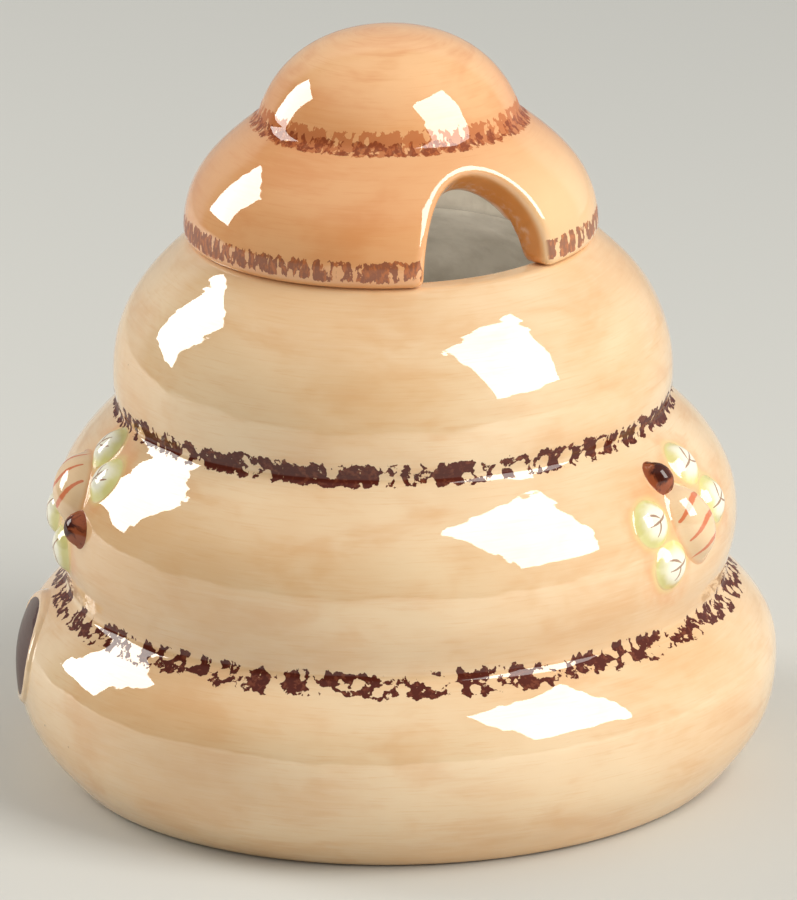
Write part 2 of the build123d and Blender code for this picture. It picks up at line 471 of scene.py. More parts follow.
# A bee's angle round the bowl, its middle's distance along the wall and its heading
def bee_pose(bee):
    angle, rise, heading = bees[bee]
    middle = (middle_coil_start + middle_coil_end) / 2 + rise
    return math.radians(angle), middle, math.radians(heading)


# Forward and left of a bee at an angle and a distance along the wall
def bee_ground(bee, angle, distance):
    bee_angle, middle, turn = bee_pose(bee)
    around = np.angle(np.exp(1j * (angle - bee_angle)))
    right, up = around * middle_coil_radius, distance - middle
    return right * math.cos(turn) + up * math.sin(turn), up * math.cos(turn) - right * math.sin(turn)


# The angle and the distance along the wall at a place forward and left of a bee
def bee_place(bee, forward, left):
    bee_angle, middle, turn = bee_pose(bee)
    right = forward * math.cos(turn) - left * math.sin(turn)
    up = forward * math.sin(turn) + left * math.cos(turn)
    return bee_angle + right / middle_coil_radius, middle + up


# How far a place lies outside the nearest wing
def beyond_wings(angle, distance):
    beyond = np.full(np.shape(angle), far_from_wings)
    wings = [part for name, part in bee_parts().items() if "wing" in name]
    for bee in bees:
        forward, left = bee_ground(bee, angle, distance)
        for middle_forward, middle_left, size in wings:
            half_length, half_width = size["length"] / 2, size["width"] / 2
            share = np.hypot((forward - middle_forward) / half_length, (left - middle_left) / half_width)
            beyond = np.minimum(beyond, (share - 1.0) * (half_length + half_width) / 2)
    return beyond


def make_bowl():
    columns = 300
    angle = np.arange(columns) * 2 * math.pi / columns
    rows = bowl_wall.lengths[1:-1]
    distance, around = np.meshgrid(rows, angle, indexing="ij")
    places = bowl_wall.places(around, distance, 0.0).reshape(-1, 3)
    distance, around = distance.ravel(), around.ravel()
    ends = np.array([[0.0, 0.0, bowl_line[0, 1]], [0.0, 0.0, bowl_line[-1, 1]]])
    bottom, floor = len(places), len(places) + 1
    faces = ring_faces(len(rows), columns)
    faces += fan_faces(bottom, 0, columns, True)
    faces += fan_faces(floor, (len(rows) - 1) * columns, columns, False)
    glaze_place = np.column_stack([places[:, :2], distance])
    glaze_place = np.vstack([glaze_place, [0.0, 0.0, 0.0], [0.0, 0.0, bowl_wall.lengths[-1]]])
    bare = np.maximum(distance - bowl_wall.end, bowl_wall.start - distance)
    values = {
        "place": glaze_place,
        "bare": np.append(bare, [far_inside] * 2),
        "beyond_wings": np.append(beyond_wings(around, distance), [far_from_wings] * 2),
    }
    bowl = new_piece("glazed_bowl", np.vstack([places, ends]), faces, values)
    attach(bowl, "bowl_body")
    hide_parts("bowl")
    return bowl


# Signed distance to a turned section on a fine grid of radius and height, below 0 inside
class TurnedField:
    cell = 0.1

    def __init__(self, line, margin=3.0):
        self.low = line[:, 1].min() - margin
        radii = np.arange(0.0, line[:, 0].max() + margin, self.cell)
        heights = np.arange(self.low, line[:, 1].max() + margin, self.cell)
        r, z = np.meshgrid(radii, heights, indexing="ij")
        nearest = np.full(r.shape, np.inf)
        crossings = np.zeros(r.shape, int)
        for (r0, z0), (r1, z1) in zip(line[:-1], line[1:]):
            length = math.hypot(r1 - r0, z1 - z0)
            t = np.clip(((r - r0) * (r1 - r0) + (z - z0) * (z1 - z0)) / length**2, 0.0, 1.0)
            nearest = np.minimum(nearest, np.hypot(r - r0 - t * (r1 - r0), z - z0 - t * (z1 - z0)))
            if z0 != z1:
                meets = ((z >= min(z0, z1)) & (z < max(z0, z1)))
                crossings += meets & (r < r0 + (z - z0) * (r1 - r0) / (z1 - z0))
        self.values = np.where(crossings % 2 == 1, -nearest, nearest)

    def at(self, places):
        r = np.hypot(places[..., 0], places[..., 1]) / self.cell
        z = (places[..., 2] - self.low) / self.cell
        row = np.clip(r.astype(int), 0, self.values.shape[0] - 2)
        column = np.clip(z.astype(int), 0, self.values.shape[1] - 2)
        a, b = np.clip(r - row, 0.0, 1.0), np.clip(z - column, 0.0, 1.0)
        v = self.values
        near = v[row, column] * (1 - b) + v[row, column + 1] * b
        far = v[row + 1, column] * (1 - b) + v[row + 1, column + 1] * b
        return near * (1 - a) + far * a


# Places seen along the notch, so that it faces -Y
def facing_notch(places):
    turn = math.radians(notch_angle)
    x = places[..., 0] * math.cos(turn) + places[..., 1] * math.sin(turn)
    y = places[..., 1] * math.cos(turn) - places[..., 0] * math.sin(turn)
    return x, y, places[..., 2]


# Distance to the walls of the notch, below 0 inside it; its walls shrink towards the cone point
def notch_field(places):
    x, y, z = facing_notch(places)
    share = np.maximum(-y, 0.5) / lid_radius
    across = np.abs(x) / share
    up = (z - seat_height + notch_cone_drop) / share - notch_cone_drop
    half = notch_width / 2
    out = np.hypot(across, np.maximum(up, 0.0) * half / notch_height)
    steepness = np.where(up > 0.0, np.hypot(across, up * (half / notch_height) ** 2), across)
    steepness /= np.maximum(out, 1e-6)
    return np.where(y < 0.0, (out - half) * share / np.maximum(steepness, 0.2), 9.0)


# The lid's wall round the notch, which thickens from the lid's own wall at the seat upward
def notch_wall(places):
    rise = (places[..., 2] - seat_height) / lid_hollow_belly
    return lid_wall + (notch_rim_wall - lid_wall) * eased_share(rise)


# Distance to the gap in the collar and its root under the notch, below 0 inside it
def collar_gap_field(places):
    x, y, z = facing_notch(places)
    sides = np.maximum(np.abs(x) - collar_gap_width / 2, y)
    front = np.hypot(x, y) - (lid_radius - notch_wall(places))
    return np.maximum(np.maximum(sides, front), z - seat_height - lid_hollow_belly)


def rounded_larger(first, second, rounding):
    close = np.maximum(rounding - np.abs(first - second), 0.0) / rounding
    return np.maximum(first, second) + close * close * rounding / 4


lid_outside_line, lid_filled_line, lid_line = lid_sections()
lid_lengths = lengths_along(lid_outside_line)


# The distance up the lid's outside at a height
def lid_distance_at(height):
    return np.interp(height, lid_outside_line[::-1, 1], (lid_lengths[-1] - lid_lengths)[::-1])


def make_lid():
    outside, whole = TurnedField(lid_filled_line), TurnedField(lid_line)

    def solid(places):
        notch, depth = notch_field(places), -outside.at(places)
        below = seat_height + notch_rim_rise - places[..., 2]
        rim = np.maximum(notch_rim_rounding - depth, depth - notch_wall(places))
        rim = np.maximum(rim, np.maximum(notch - notch_rim_reach, below))
        filled = -rounded_larger(-whole.at(places), -rim, notch_rim_rounding)
        notched = rounded_larger(filled, -notch, notch_rim_rounding)
        return rounded_larger(notched, -collar_gap_field(places), edge_softening)

    step = 0.42
    margin = 1.5
    low = np.array([-lid_radius, -lid_radius, seat_height - collar_depth]) - margin
    high = np.array([lid_radius, lid_radius, apex_height]) + margin
    counts = np.ceil((high - low) / step).astype(int)
    corners = np.stack(np.meshgrid(*(np.arange(count) for count in counts), indexing="ij"), -1)
    grid = openvdb.FloatGrid(margin)
    grid.copyFromArray(np.clip(solid(low + corners * step), -margin, margin).astype(np.float32))
    places, faces = grid.convertToQuads(isovalue=0.0)
    places = low + places.astype(float) * step

    # Each point is drawn onto the exact surface
    nudge = 0.06
    for _ in range(4):
        ahead = np.array([solid(places + each) for each in nudge * np.eye(3)])
        behind = np.array([solid(places - each) for each in nudge * np.eye(3)])
        steepness = (ahead - behind).T / (2 * nudge)
        size = np.maximum((steepness**2).sum(1), 0.25)
        places -= (solid(places) / size)[:, None] * steepness
    up_wall = lid_distance_at(places[:, 2]) + np.minimum(places[:, 2] - seat_height, 0.0)
    values = {
        "place": np.column_stack([places[:, :2], up_wall]),
        "bare": -outside.at(places),
        "beyond_notch": notch_field(places),
    }
    lid = new_piece("glazed_lid", places, faces.tolist(), values)
    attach(lid, "lid_body")
    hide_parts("lid")
    return lid


# A low closed form on the wall: a top of rings from its middle out, and a flat underside
def new_relief(name, ground, spokes, shares, relief, spot, node):
    turn = -np.arange(spokes) * 2 * math.pi / spokes
    share, around = np.meshgrid(np.append(shares, shares[-1]), turn, indexing="ij")
    height = np.append(relief, -relief_depth)[:, None] + np.zeros_like(share)
    angle, distance = ground(share * np.cos(around), share * np.sin(around))
    middle_angle, middle_distance = ground(0.0, 0.0)
    middles = bowl_wall.places(middle_angle, middle_distance, np.array([relief[0], -relief_depth]))
    places = np.vstack([bowl_wall.places(angle, distance, height).reshape(-1, 3), middles])
    last_ring = len(shares) * spokes
    top, underside = len(places) - 2, len(places) - 1
    faces = ring_faces(len(shares) + 1, spokes)
    faces += fan_faces(top, 0, spokes, True)
    faces += fan_faces(underside, last_ring, spokes, False)
    distances = np.append(distance.ravel(), [middle_distance, middle_distance])
    values = {"place": np.column_stack([places[:, :2], distances])}
    values.update(spot(np.append(share.ravel(), [0.0, 0.0]), np.append(around.ravel(), [0.0, 0.0])))
    piece = new_piece(name, places, faces, values)
    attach(piece, "bowl_body")
    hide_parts(node)
    return piece


# Heights over a lobe of relief from its middle, 0, to its foot, 1, and on into the glaze round it
def lobe_heights(shares, relief):
    lobe = relief * (1.0 - shares**lobe_fullness)
    return rounded_larger(lobe, 0.0, foot_filling * relief) - relief_sink


def make_bee_part(bee, part):
    middle_forward, middle_left, size = bee_parts()[part]
    relief = size["relief"]
    egg_depth = egg_sink / (relief + egg_sink)
    foot = math.sqrt(1.0 - egg_depth**2) / 2
    half_length, half_width = foot * size["length"], foot * size["width"]
    outward = -1.0 if middle_left < 0.0 else 1.0

    def ground(forward_share, left_share):
        forward = middle_forward + half_length * forward_share
        return bee_place(bee, forward, middle_left + half_width * left_share)

    def spot(share, around):
        forward = half_length * share * np.cos(around)
        left = half_width * share * np.sin(around) * outward
        return {"spot": np.column_stack([forward, left, share])}

    shares = np.linspace(0.0, (1.0 + foot_filling) ** (1.0 / lobe_fullness), 34)[1:]
    heights = lobe_heights(shares, relief)
    heights[0] = relief - relief_sink
    node = f"{bee}_{part}"
    return new_relief(f"relief_{node}", ground, 80, shares, heights, spot, node)


# The angle and the distance along the wall at a place beside and above the doorway's middle
def door_place(beside, above):
    angle = math.radians(door_angle) + np.arcsin(beside / bottom_coil_radius)
    return angle, bowl_wall.distance_at(bottom_coil_belly + door_above_belly + above)


def make_door_panel():
    def ground(beside_share, above_share):
        return door_place(door_width / 2 * beside_share, door_height / 2 * above_share)

    def spot(share, around):
        beside = door_width / 2 * share * np.cos(around)
        above = door_height / 2 * share * np.sin(around)
        return {"spot": np.column_stack([beside, above, door_thinning * share])}

    shares = np.linspace(0.0, 1.0 + door_rim_width / door_width, 30)[1:]
    heights = door_panel_relief * (1.0 - door_panel_dish + door_panel_dish * shares**2)
    return new_relief(
        "doorway_panel", ground, 96, shares, heights, spot, "hive_door_panel"
    )


def make_door_rim():
    columns = 144
    reach = door_rim_reach
    across = np.concatenate([np.linspace(-reach, reach, 17), [reach, -reach]])
    round_top = door_rim_relief * (1.0 - np.abs(across) ** lobe_fullness)
    height = rounded_larger(round_top, 0.0, door_rim_filling) - relief_sink
    height[-2:] = -relief_depth
    turn = np.arange(columns) * 2 * math.pi / columns
    offset = (across[:, None] + 1.0) / 2 * door_rim_width
    beside = (door_width / 2 + offset) * np.cos(turn)
    above = (door_height / 2 + offset) * np.sin(turn)
    angle, distance = door_place(beside, above)
    places = bowl_wall.places(angle, distance, height[:, None]).reshape(-1, 3)
    faces = ring_faces(len(across), columns)
    here = np.arange(columns)
    after, last = (here + 1) % columns, (len(across) - 1) * columns
    faces += np.stack([last + here, last + after, after, here], -1).tolist()
    faces = [face[::-1] for face in faces]
    values = {
        "place": np.column_stack([places[:, :2], distance.ravel()]),
        "bare": np.zeros(len(places)),
        "beyond_wings": np.full(len(places), far_from_wings),
    }
    rim = new_piece("doorway_rim", places, faces, values)
    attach(rim, "bowl_body")
    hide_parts("hive_door_rim")
    return rim


# Colours as they look under plain light, from 0 to 255
def colour(red, green, blue):
    def linear(value):
        share = value / 255
        return share / 12.92 if share <= 0.04045 else ((share + 0.055) / 1.055) ** 2.4

    return (linear(red), linear(green), linear(blue), 1.0)


# Short calls that add linked nodes to a material or to a node group
class Net:
    def __init__(self, tree):
        self.tree = tree

    def add(self, kind, inputs=None, **settings):
        node = self.tree.nodes.new(kind)
        for name, value in settings.items():
            setattr(node, name, value)
        for socket, value in (inputs or {}).items():
            if isinstance(value, bpy.types.NodeSocket):
                self.tree.links.new(value, node.inputs[socket])
            else:
                node.inputs[socket].default_value = value
        return node

    def math(self, operation, first, second=0.0, third=0.0, clamp=False):
        inputs = {0: first, 1: second, 2: third}
        return self.add("ShaderNodeMath", inputs, operation=operation, use_clamp=clamp).outputs[0]

    def times(self, first, second):
        return self.math("MULTIPLY", first, second)

    def times_plus(self, first, second, base):
        return self.math("MULTIPLY_ADD", first, second, base)

    def less(self, first, second):
        return self.math("SUBTRACT", first, second)

    def vector(self, operation, first, second=(0.0, 0.0, 0.0)):
        node = self.add("ShaderNodeVectorMath", {0: first, 1: second}, operation=operation)
        return node.outputs["Value" if operation in ("DOT_PRODUCT", "DISTANCE") else "Vector"]

    def axis(self, vector, letter):
        return self.add("ShaderNodeSeparateXYZ", {0: vector}).outputs[letter]

    def scaled(self, vector, size):
        return self.vector("MULTIPLY", vector, size)

    def lengthened(self, vector, length):
        inputs = {0: vector, "Scale": length}
        return self.add("ShaderNodeVectorMath", inputs, operation="SCALE").outputs["Vector"]

    def noise(self, vector, size=None, detail=2.0, roughness=0.5, warp=0.0):
        if size:
            vector = self.scaled(vector, size)
        inputs = {"Vector": vector, "Scale": 1.0, "Detail": detail}
        inputs.update({"Roughness": roughness, "Distortion": warp})
        return self.add("ShaderNodeTexNoise", inputs).outputs["Fac"]

    # From 0 to 1 as a value goes from low to high, eased at both ends
    def eased(self, value, low, high):
        inputs = {"Value": value, "From Min": low, "From Max": high}
        return self.add("ShaderNodeMapRange", inputs, interpolation_type="SMOOTHSTEP").outputs["Result"]

    def mix(self, share, first, second):
        inputs = {"Factor": share, 6: first, 7: second}
        return self.add("ShaderNodeMix", inputs, data_type="RGBA", clamp_factor=True).outputs[2]

    # A mix by a mask of which only a share counts
    def tinted(self, mask, share, first, second):
        return self.mix(self.times(mask, share), first, second)

    def value_of(self, name, output="Fac"):
        return self.add("ShaderNodeAttribute", attribute_name=name).outputs[output]

    def group(self, group, **inputs):
        node = self.add("ShaderNodeGroup", node_tree=group)
        for name, value in inputs.items():
            socket = node.inputs[name.replace("_", " ")]
            if isinstance(value, bpy.types.NodeSocket):
                self.tree.links.new(value, socket)
            else:
                socket.default_value = value
        return node.outputs[0]


socket_kinds = {float: "NodeSocketFloat", tuple: "NodeSocketVector", str: "NodeSocketColor"}


# A node group with named inputs and one output; kinds are float, tuple for a vector, str for a colour
def new_group(name, inputs, output, kind, build):
    tree = bpy.data.node_groups.new(name, "ShaderNodeTree")
    for input_name, input_kind in inputs.items():
        tree.interface.new_socket(input_name, in_out="INPUT", socket_type=socket_kinds[input_kind])
    tree.interface.new_socket(output, in_out="OUTPUT", socket_type=socket_kinds[kind])
    net = Net(tree)
    given = net.add("NodeGroupInput").outputs
    result = build(net, given)
    net.add("NodeGroupOutput", {0: result})
    return tree


# Thin stain brushed round the ware: cream where it is thin, tan over most, deep where it pools
def build_brushed_stain(net, given):
    place = given["Place"]
    broad = net.noise(place, (0.03, 0.03, 0.045), 2.0)
    clouds = net.noise(place, (0.08, 0.08, 0.16), 3.0, 0.55, 0.4)
    strokes = net.noise(place, (0.1, 0.1, 0.9), 3.0, 0.6, 0.4)
    hairs = net.noise(place, (0.16, 0.16, 3.4), 3.0, 0.65, 0.2)
    soft = net.times_plus(broad, 0.6, net.times(clouds, 0.3))
    cover = net.times_plus(strokes, 0.1, soft)
    stain = net.mix(net.eased(cover, 0.36, 0.64), given["Cream"], given["Tan"])
    pools = net.times_plus(strokes, 0.25, net.times(clouds, 0.75))
    stain = net.tinted(net.eased(pools, 0.48, 0.7), given["Depth"], stain, given["Deep"])
    stain = net.tinted(net.eased(hairs, 0.52, 0.74), 0.26, stain, given["Deep"])
    return net.tinted(net.eased(hairs, 0.46, 0.3), 0.16, stain, given["Cream"])


# Ragged patches dabbed with a sponge along a line round the ware, from 0 to 1, with round pores
def build_sponged_band(net, given):
    place = given["Place"]
    height = net.axis(place, "Z")
    wander = net.noise(place, (0.12, 0.12, 0.0), 2.0)
    middle = net.times_plus(net.less(wander, 0.5), given["Wander"], given["Middle"])
    away = net.math("DIVIDE", net.less(height, middle), given["Half Width"])
    fall = net.math("POWER", net.math("ABSOLUTE", away), 4.0)
    upright = net.lengthened(net.scaled(place, (0.0, 0.0, 1.0)), given["Upright"])
    drawn = net.vector("ADD", net.scaled(place, (1.0, 1.0, 0.0)), upright)
    ragged = net.less(net.noise(net.lengthened(drawn, given["Grain"]), None, 3.0, 0.55, 0.3), 0.5)
    gaps = net.less(net.noise(place, (0.26, 0.26, 0.12), 2.0), 0.5)
    held = net.times_plus(gaps, given["Gaps"], given["Cover"])
    held = net.times_plus(fall, -0.2, held)
    held = net.times_plus(ragged, 1.3, held)
    shake = net.add("ShaderNodeTexNoise", {"Vector": place, "Scale": 0.9, "Detail": 2.0})
    shaken = net.vector("ADD", drawn, net.scaled(shake.outputs["Color"], (1.2, 1.2, 1.2)))
    pores = {"Vector": shaken, "Scale": given["Pores"], "Randomness": 1.0}
    cells = net.add("ShaderNodeTexVoronoi", pores)
    pore = net.times(net.eased(cells.outputs["Distance"], 0.5, 0.28), given["Pore Depth"])
    return net.eased(net.less(held, pore), -0.02, 0.03)


# Pinholes and specks of dark grit, sparse dots
def build_specks(net, given):
    spread = net.scaled(given["Place"], (0.14, 0.14, 0.14))
    cells = net.add("ShaderNodeTexVoronoi", {"Vector": spread, "Scale": 1.0})
    drawn = net.axis(cells.outputs["Color"], "X")
    dot = net.eased(cells.outputs["Distance"], 0.032, 0.02)
    return net.times(net.eased(drawn, 0.72, 0.74), dot)


# Unevenness of the glaze and of the brushed clay under it, as a height in millimetres
def build_glaze_ripple(net, given):
    place = given["Place"]
    swells = net.noise(place, (0.085, 0.085, 0.12), 3.0, 0.42)
    brushed = net.noise(place, (0.09, 0.09, 0.8), 3.0, 0.5)
    strokes = net.times(brushed, given["Brushing"])
    return net.times_plus(swells, given["Swells"], strokes)


# A painted line from one place to another, bowed to one side and thinner at its ends
def build_painted_line(net, given):
    spot, start = given["Spot"], given["Start"]
    flat = net.scaled(spot, (1.0, 1.0, 0.0))
    run = net.vector("SUBTRACT", given["End"], start)
    ahead = net.vector("SUBTRACT", flat, start)
    length_squared = net.vector("DOT_PRODUCT", run, run)
    share = net.math("DIVIDE", net.vector("DOT_PRODUCT", ahead, run), length_squared, clamp=True)
    arch = net.math("SINE", net.times(share, math.pi))
    parts = net.add("ShaderNodeSeparateXYZ", {0: run}).outputs
    turned = {"X": net.times(parts["Y"], -1.0), "Y": parts["X"]}
    side = net.vector("NORMALIZE", net.add("ShaderNodeCombineXYZ", turned).outputs[0])
    bow = net.lengthened(side, net.times(arch, given["Bow"]))
    nearest = net.vector("ADD", net.vector("ADD", start, net.lengthened(run, share)), bow)
    away = net.vector("DISTANCE", flat, nearest)
    shake = net.noise(spot, (1.1, 1.1, 0.0), 3.0, 0.6)
    away = net.times_plus(net.less(shake, 0.5), given["Width"], away)
    width = net.times(given["Width"], net.times_plus(arch, 0.6, 0.35))
    return net.eased(net.math("DIVIDE", away, width), 1.15, 0.75)


stain_inputs = {"Place": tuple, "Cream": str, "Tan": str, "Deep": str, "Depth": float}
brushed_stain = new_group("brushed stain", stain_inputs, "Color", str, build_brushed_stain)
band_values = (
    "Middle", "Half Width", "Cover", "Gaps", "Wander", "Grain", "Upright", "Pores", "Pore Depth",
)
band_inputs = {"Place": tuple, **dict.fromkeys(band_values, float)}
sponged_band = new_group("sponged band", band_inputs, "Mask", float, build_sponged_band)
specks = new_group("specks", {"Place": tuple}, "Mask", float, build_specks)
ripple_inputs = {"Place": tuple, "Swells": float, "Brushing": float}
glaze_ripple = new_group("glaze ripple", ripple_inputs, "Height", float, build_glaze_ripple)
line_inputs = {"Spot": tuple, "Start": tuple, "End": tuple, "Bow": float, "Width": float}
painted_line = new_group("painted line", line_inputs, "Mask", float, build_painted_line)

bowl_cream = colour(237, 209, 169)
bowl_tan = colour(229, 189, 141)
bowl_deep = colour(218, 164, 110)
lid_cream = colour(240, 190, 138)
lid_tan = colour(230, 165, 110)
lid_deep = colour(218, 146, 88)
# Painted light: the paler, creamier tone of the lid on the side that the right softbox lights
lid_lit_side_cream = colour(242, 208, 158)
# Deeper orange of the lid's cut faces: pooled stain, and partly painted shade
jamb_orange_and_shade = colour(238, 156, 78)
band_brown = colour(84, 33, 21)
band_light_brown = colour(132, 72, 48)
sponge_red = colour(178, 96, 52)
sponge_dark_red = colour(128, 56, 30)
sponge_plum = colour(126, 66, 50)
inside_white = colour(218, 214, 204)
inside_grey = colour(196, 189, 176)
inside_glow = colour(232, 220, 200)
no_light = colour(0, 0, 0)
speck_brown = colour(120, 80, 55)
floor_tone = colour(206, 207, 202)
backdrop_tone = colour(206, 207, 201)
studio_white = colour(255, 254, 252)
softbox_white = colour(255, 250, 244)
head_dark = colour(66, 26, 16)
head_light = colour(152, 80, 48)
body_cream = colour(243, 214, 174)
stripe_red = colour(214, 104, 58)
wing_cream = colour(246, 243, 222)
wing_green = colour(226, 220, 146)
vein_brown = colour(140, 82, 38)
halo_orange = colour(226, 150, 84)


# A glossy fired glaze over a colour, with swells of a depth in millimetres. The glow stands for
# the light that bounces many times between the white walls inside.
def finish_glaze(material, net, place, base_colour, swells, glow=no_light, gloss=1.0):
    height = net.group(glaze_ripple, Place=place, Swells=swells, Brushing=brushing)
    bump = net.add("ShaderNodeBump", {"Height": height, "Strength": 1.0, "Distance": MM})
    shader = net.add("ShaderNodeBsdfPrincipled", {
        "Base Color": base_colour,
        "Roughness": under_glaze_roughness,
        "Specular IOR Level": 0.0,
        "Coat Weight": gloss,
        "Coat Roughness": glaze_roughness,
        "Coat IOR": glaze_ior,
        "Normal": bump.outputs[0],
        "Coat Normal": bump.outputs[0],
        "Emission Color": glow,
        "Emission Strength": inside_glow_strength,
    })
    net.add("ShaderNodeOutputMaterial", {"Surface": shader.outputs[0]})
    return material


def new_material(name):
    material = bpy.data.materials.new(name)
    material.use_nodes = True
    material.node_tree.nodes.clear()
    return material, Net(material.node_tree)


# A material and its net, with the place on the ware in millimetres
def new_glaze(name):
    material, net = new_material(name)
    return material, net, net.value_of("place", "Vector")


def bowl_stain(net, place):
    tones = {"Cream": bowl_cream, "Tan": bowl_tan, "Deep": bowl_deep}
    return net.group(brushed_stain, Place=place, Depth=0.32, **tones)


def paint_lines(net, spot, base, lines, width, share, tone):
    for start, end, bow in lines:
        line = net.group(painted_line, Spot=spot, Start=start, End=end, Bow=bow, Width=width)
        base = net.tinted(line, share, base, tone)
    return base


# The white glaze inside, cloudy and a little grey in places
def white_inside(net, place):
    cloud = net.noise(place, (0.22, 0.22, 0.2), 4.0, 0.6)
    return net.mix(net.eased(cloud, 0.4, 0.66), inside_white, inside_grey)


# The uneven glow of the inside, where the white glaze is and as strong as it is near
def inside_light(net, place, inside, nearness):
    uneven = net.noise(place, (0.1, 0.1, 0.12), 3.0, 0.6)
    strength = net.times(net.times_plus(uneven, 1.1, 0.08), inside)
    return net.tinted(strength, nearness, no_light, inside_glow)


def make_bowl_glaze():
    material, net, place = new_glaze("bowl_glaze")
    stain = bowl_stain(net, place)
    beyond = net.value_of("beyond_wings")
    smudge = net.less(net.noise(place, (0.25, 0.25, 0.25), 3.0), 0.5)
    halo = net.times_plus(smudge, 7.0, beyond)
    stain = net.tinted(net.eased(halo, 3.4, -0.2), 0.5, stain, halo_orange)
    fringe = net.times_plus(smudge, 1.6, beyond)
    stain = net.tinted(net.eased(fringe, 1.0, -0.4), 0.55, stain, wing_green)
    upper = net.group(
        sponged_band, Place=place, Middle=float(middle_coil_end) + 0.8, Half_Width=1.5,
        Cover=0.22, Gaps=1.3, Wander=0.7, Grain=1.0, Upright=0.8, Pores=0.4, Pore_Depth=0.4,
    )
    lower = net.group(
        sponged_band, Place=place, Middle=float(middle_coil_start) - 0.9, Half_Width=1.8,
        Cover=0.16, Gaps=1.5, Wander=0.9, Grain=1.0, Upright=0.8, Pores=0.45, Pore_Depth=0.6,
    )
    bands = net.math("MAXIMUM", upper, lower)
    worn = net.noise(place, (1.1, 1.1, 1.1), 3.0, 0.6)
    brown = net.tinted(net.eased(worn, 0.5, 0.68), 0.6, band_brown, band_light_brown)
    painted = net.mix(bands, stain, brown)
    painted = net.mix(net.group(specks, Place=place), painted, speck_brown)
    bare = net.value_of("bare")
    edge = net.times_plus(net.noise(place, (0.3, 0.3, 0.3), 2.0), 1.2, bare)
    inside = net.eased(edge, 3.2, 4.4)
    base = net.mix(inside, painted, white_inside(net, place))
    glow = inside_light(net, place, inside, net.eased(bare, 39.0, 3.0))
    gloss = net.times_plus(bands, -0.6, 1.0)
    return finish_glaze(material, net, place, base, bowl_swells, glow, gloss)


def make_lid_glaze():
    material, net, place = new_glaze("lid_glaze")
    height_up = net.axis(place, "Z")
    crease, rim = float(lid_distance_at(lid_crease[1])), float(lid_distance_at(seat_height + 0.1))
    tones = {"Cream": lid_cream, "Tan": lid_tan, "Deep": lid_deep}
    stain = net.group(brushed_stain, Place=place, Depth=0.45, **tones)
    stain = net.tinted(net.eased(height_up, crease + 12.0, crease + 2.0), 0.42, stain, lid_deep)
    # Painted light: below the crease the lid's stain turns paler and creamier towards the side that the
    # right softbox lights
    turn = math.radians(lit_side_angle)
    forward = net.vector("DOT_PRODUCT", place, (math.sin(turn), -math.cos(turn), 0.0))
    below_crease = net.eased(height_up, crease + 1.0, crease - 3.0)
    thin = net.times(net.eased(forward, 15.0, 27.0), below_crease)
    stain = net.tinted(thin, 0.7, stain, lid_lit_side_cream)
    wash = net.group(
        sponged_band, Place=place, Middle=crease + 0.5, Half_Width=1.6,
        Cover=0.3, Gaps=0.5, Wander=0.4, Grain=1.5, Upright=0.4, Pores=0.8, Pore_Depth=0.4,
    )
    prints = net.group(
        sponged_band, Place=place, Middle=crease - 0.2, Half_Width=1.1,
        Cover=0.14, Gaps=0.8, Wander=0.4, Grain=1.3, Upright=0.4, Pores=0.7, Pore_Depth=0.5,
    )
    blots = net.group(
        sponged_band, Place=place, Middle=rim + 2.1, Half_Width=1.25,
        Cover=0.28, Gaps=0.9, Wander=0.3, Grain=1.6, Upright=0.3, Pores=0.9, Pore_Depth=0.5,
    )
    bare = net.value_of("bare")
    blots = net.times(blots, net.eased(bare, 0.7, 0.2))
    sponged = net.math("MAXIMUM", net.math("MAXIMUM", wash, prints), blots)
    tone = net.eased(net.noise(place, (1.5, 1.5, 0.7), 3.0, 0.65), 0.46, 0.64)
    painted = net.tinted(wash, 0.75, stain, sponge_red)
    painted = net.tinted(prints, 0.85, painted, net.mix(tone, sponge_dark_red, sponge_red))
    painted = net.tinted(blots, 0.85, painted, net.mix(tone, sponge_plum, sponge_red))
    painted = net.mix(net.group(specks, Place=place), painted, speck_brown)
    edge = net.times_plus(net.noise(place, (0.3, 0.3, 0.3), 2.0), 1.6, bare)
    # The lid's cut faces in the notch and at its foot turn a deeper orange: stain pooled there, and
    # partly painted shade
    painted = net.tinted(net.eased(bare, 0.6, 1.8), 0.85, painted, jamb_orange_and_shade)
    beyond = net.times_plus(net.noise(place), 1.2, net.value_of("beyond_notch"))
    inside = net.times(net.eased(edge, 3.4, 4.4), net.eased(beyond, 0.5, 1.6))
    inside = net.math("MAXIMUM", inside, net.times(net.eased(edge, 5.4, 6.8), 0.6))
    base = net.mix(inside, painted, white_inside(net, place))
    glow = inside_light(net, place, inside, 0.96)
    gloss = net.times_plus(sponged, -0.5, 1.0)
    return finish_glaze(material, net, place, base, lid_swells, glow, gloss)


def make_dark_brown_glaze():
    material, net, place = new_glaze("dark_brown_glaze")
    share = net.axis(net.value_of("spot", "Vector"), "Z")
    thin = net.noise(place, (0.45, 0.45, 0.45), 4.0, 0.6, 0.8)
    rubbed = net.times_plus(net.less(share, 0.6), 0.4, thin)
    base = net.mix(net.eased(rubbed, 0.42, 0.62), head_dark, head_light)
    return finish_glaze(material, net, place, base, relief_swells, gloss=0.5)


def make_bee_body_glaze():
    material, net, place = new_glaze("bee_body_glaze")
    spot = net.value_of("spot", "Vector")
    share = net.axis(spot, "Z")
    base = net.mix(0.5, bowl_stain(net, place), body_cream)
    base = paint_lines(net, spot, base, bee_stripes, bee_stripe_width, 0.85, stripe_red)
    halo = net.mix(0.5, bowl_stain(net, place), halo_orange)
    base = net.mix(net.eased(share, 0.92, 1.08), base, halo)
    return finish_glaze(material, net, place, base, relief_swells)


